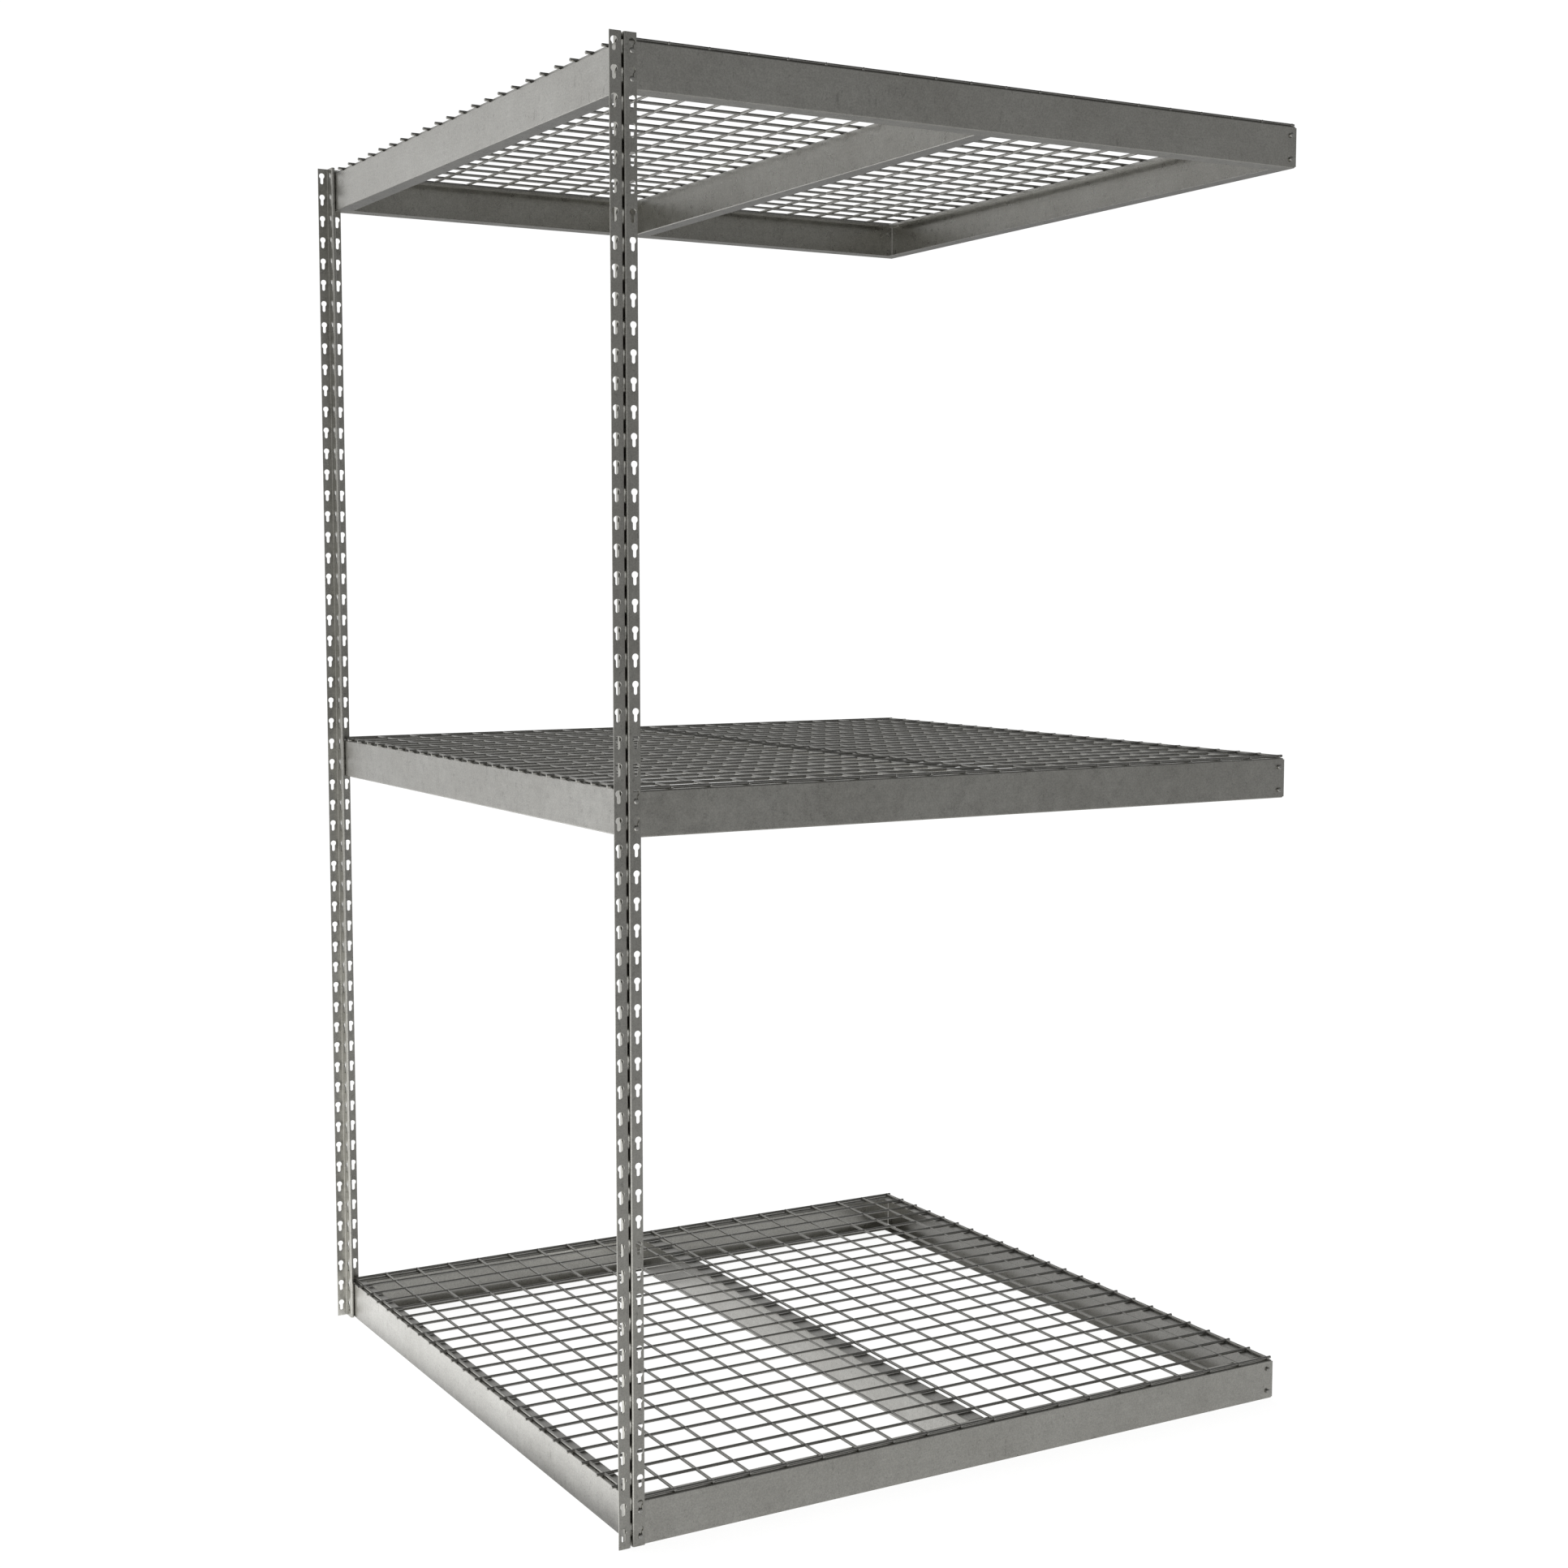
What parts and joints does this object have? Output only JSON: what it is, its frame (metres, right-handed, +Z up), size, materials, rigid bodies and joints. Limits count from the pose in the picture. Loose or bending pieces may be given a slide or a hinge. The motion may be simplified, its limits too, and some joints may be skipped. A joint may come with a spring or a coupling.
{
  "type": "boltless steel shelving",
  "caption": "Boltless steel shelving add-on bay with keyhole tee posts, riveted channel beams, centre supports and welded wire decks.",
  "frame": {"origin": "middle of the footprint, on the floor", "axes": "+Z up along the posts, +X from the posts along the bay to the free ends, +Y from the front beams to the rear beams"},
  "size_m": [1.2404, 1.2236, 2.1336],
  "materials": {
    "post_steel": "satin bare steel, faint smudges",
    "beam_steel": "satin bare steel, faint rolling marks and smudges",
    "wire_steel": "dark drawn wire, satin",
    "rivet_steel": "satin bare steel"
  },
  "bodies": {
    "frame": {"front_tee_post": "post_steel", "rear_tee_post": "post_steel", "bottom_front_beam": "beam_steel", "bottom_rear_beam": "beam_steel", "bottom_left_side_beam": "beam_steel", "bottom_right_side_beam": "beam_steel", "bottom_centre_support": "beam_steel", "bottom_front_rivet_left_lower": "rivet_steel", "bottom_front_rivet_right_lower": "rivet_steel", "bottom_rear_rivet_left_lower": "rivet_steel", "bottom_rear_rivet_right_lower": "rivet_steel", "bottom_side_rivet_front_lower": "rivet_steel", "bottom_side_rivet_rear_lower": "rivet_steel", "bottom_front_rivet_left_upper": "rivet_steel", "bottom_front_rivet_right_upper": "rivet_steel", "bottom_rear_rivet_left_upper": "rivet_steel", "bottom_rear_rivet_right_upper": "rivet_steel", "bottom_side_rivet_front_upper": "rivet_steel", "bottom_side_rivet_rear_upper": "rivet_steel", "middle_front_beam": "beam_steel", "middle_rear_beam": "beam_steel", "middle_left_side_beam": "beam_steel", "middle_right_side_beam": "beam_steel", "middle_centre_support": "beam_steel", "middle_front_rivet_left_lower": "rivet_steel", "middle_front_rivet_right_lower": "rivet_steel", "middle_rear_rivet_left_lower": "rivet_steel", "middle_rear_rivet_right_lower": "rivet_steel", "middle_side_rivet_front_lower": "rivet_steel", "middle_side_rivet_rear_lower": "rivet_steel", "middle_front_rivet_left_upper": "rivet_steel", "middle_front_rivet_right_upper": "rivet_steel", "middle_rear_rivet_left_upper": "rivet_steel", "middle_rear_rivet_right_upper": "rivet_steel", "middle_side_rivet_front_upper": "rivet_steel", "middle_side_rivet_rear_upper": "rivet_steel", "top_front_beam": "beam_steel", "top_rear_beam": "beam_steel", "top_left_side_beam": "beam_steel", "top_right_side_beam": "beam_steel", "top_centre_support": "beam_steel", "top_front_rivet_left_lower": "rivet_steel", "top_front_rivet_right_lower": "rivet_steel", "top_rear_rivet_left_lower": "rivet_steel", "top_rear_rivet_right_lower": "rivet_steel", "top_side_rivet_front_lower": "rivet_steel", "top_side_rivet_rear_lower": "rivet_steel", "top_front_rivet_left_upper": "rivet_steel", "top_front_rivet_right_upper": "rivet_steel", "top_rear_rivet_left_upper": "rivet_steel", "top_rear_rivet_right_upper": "rivet_steel", "top_side_rivet_front_upper": "rivet_steel", "top_side_rivet_rear_upper": "rivet_steel"},
    "bottom_deck": {"bottom_wire_deck": "wire_steel"},
    "middle_deck": {"middle_wire_deck": "wire_steel"},
    "top_deck": {"top_wire_deck": "wire_steel"}
  },
  "joints": [
    {"name": "bottom_deck_lift", "type": "slide", "parent": "frame", "child": "bottom_deck", "axis": [0, 0, 1], "range_m": [0, 0.9]},
    {"name": "middle_deck_lift", "type": "slide", "parent": "frame", "child": "middle_deck", "axis": [0, 0, 1], "range_m": [0, 0.9]},
    {"name": "top_deck_lift", "type": "slide", "parent": "frame", "child": "top_deck", "axis": [0, 0, 1], "range_m": [0, 0.5]}
  ]
}
